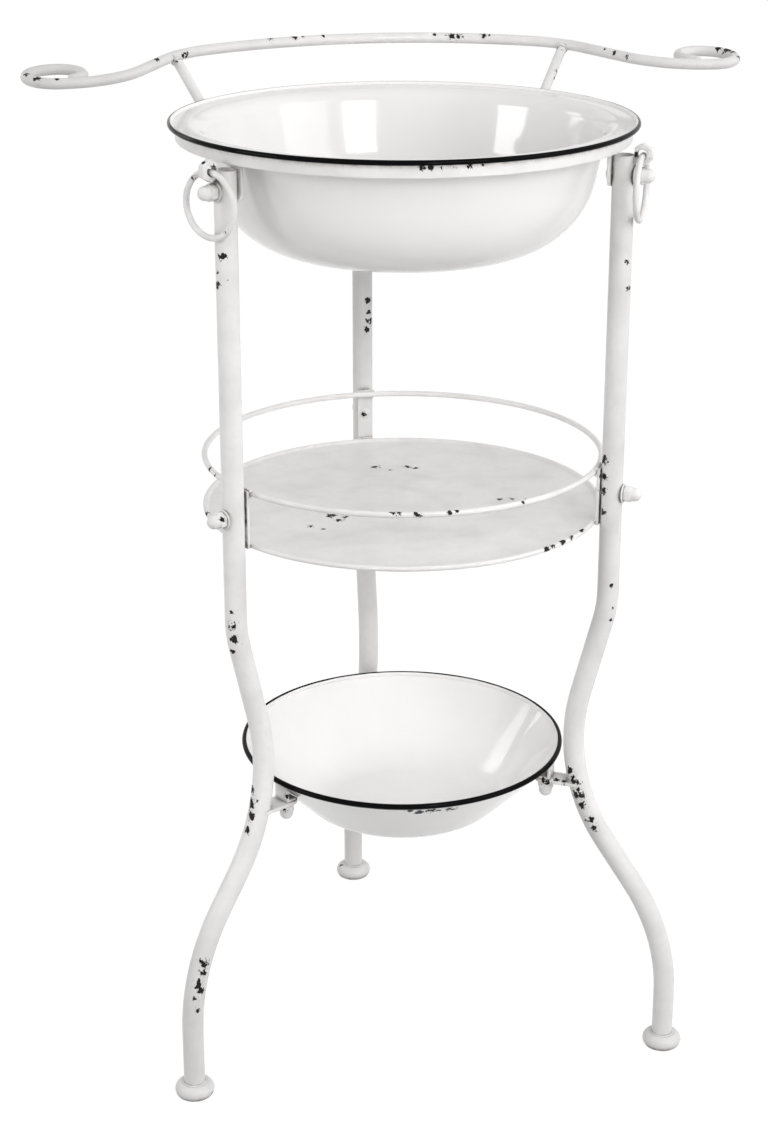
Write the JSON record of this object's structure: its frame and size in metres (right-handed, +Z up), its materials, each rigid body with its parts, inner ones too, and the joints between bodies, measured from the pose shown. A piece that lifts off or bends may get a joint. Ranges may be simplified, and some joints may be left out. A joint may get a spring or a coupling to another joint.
{
  "type": "iron wash basin stand",
  "caption": "Free-standing white iron wash stand on bent tube legs, with a black-rimmed enamel basin, a towel rail, a tray with a guard ring and a lower bowl.",
  "frame": {"origin": "on the floor, on the upright axis that the basin, the hoop, the tray and the lower bowl share", "axes": "+Z up; +Y from the axis to the back leg and the towel rail, front towards -Y; +X to the right seen from the front"},
  "size_m": [0.6458, 0.4728, 0.8977],
  "materials": {
    "white_paint": "satin",
    "white_enamel": "gloss"
  },
  "bodies": {
    "stand": {"leg_left": "white_paint", "leg_right": "white_paint", "leg_back": "white_paint", "foot_left": "white_paint", "foot_right": "white_paint", "foot_back": "white_paint", "basin_hoop": "white_paint", "hoop_tab_left": "white_paint", "hoop_tab_right": "white_paint", "hoop_tab_back": "white_paint", "top_bolts": "white_paint", "top_washers": "white_paint", "top_acorn_nuts": "white_paint", "eye_left": "white_paint", "eye_right": "white_paint", "towel_rail": "white_paint", "rail_strut_left": "white_paint", "rail_strut_right": "white_paint", "tray": "white_paint", "guard_ring": "white_paint", "strap_left": "white_paint", "strap_right": "white_paint", "strap_back": "white_paint", "shelf_bolts": "white_paint", "shelf_washers": "white_paint", "shelf_acorn_nuts": "white_paint", "lower_bowl": "white_enamel", "bowl_tab_left": "white_paint", "bowl_tab_right": "white_paint", "bowl_tab_back": "white_paint", "lug_left": "white_paint", "lug_right": "white_paint", "lug_back": "white_paint", "bowl_studs": "white_paint", "bowl_washers": "white_paint", "bowl_acorn_nuts": "white_paint"},
    "upper_basin": {"upper_basin": "white_enamel"},
    "ring_left": {"ring_left": "white_paint"},
    "ring_right": {"ring_right": "white_paint"}
  },
  "joints": [
    {"name": "basin_lift", "type": "slide", "parent": "stand", "child": "upper_basin", "axis": [0, 0, 1], "range_m": [0, 0.15]},
    {"name": "ring_left_swing", "type": "hinge", "parent": "stand", "child": "ring_left", "pos_m": [-0.17909, -0.1034, 0.8366], "axis": [-0.5, 0.866, 0], "range_deg": [-2.5, 110]},
    {"name": "ring_right_swing", "type": "hinge", "parent": "stand", "child": "ring_right", "pos_m": [0.17909, -0.1034, 0.8366], "axis": [-0.5, -0.866, 0], "range_deg": [-2.5, 110]}
  ]
}
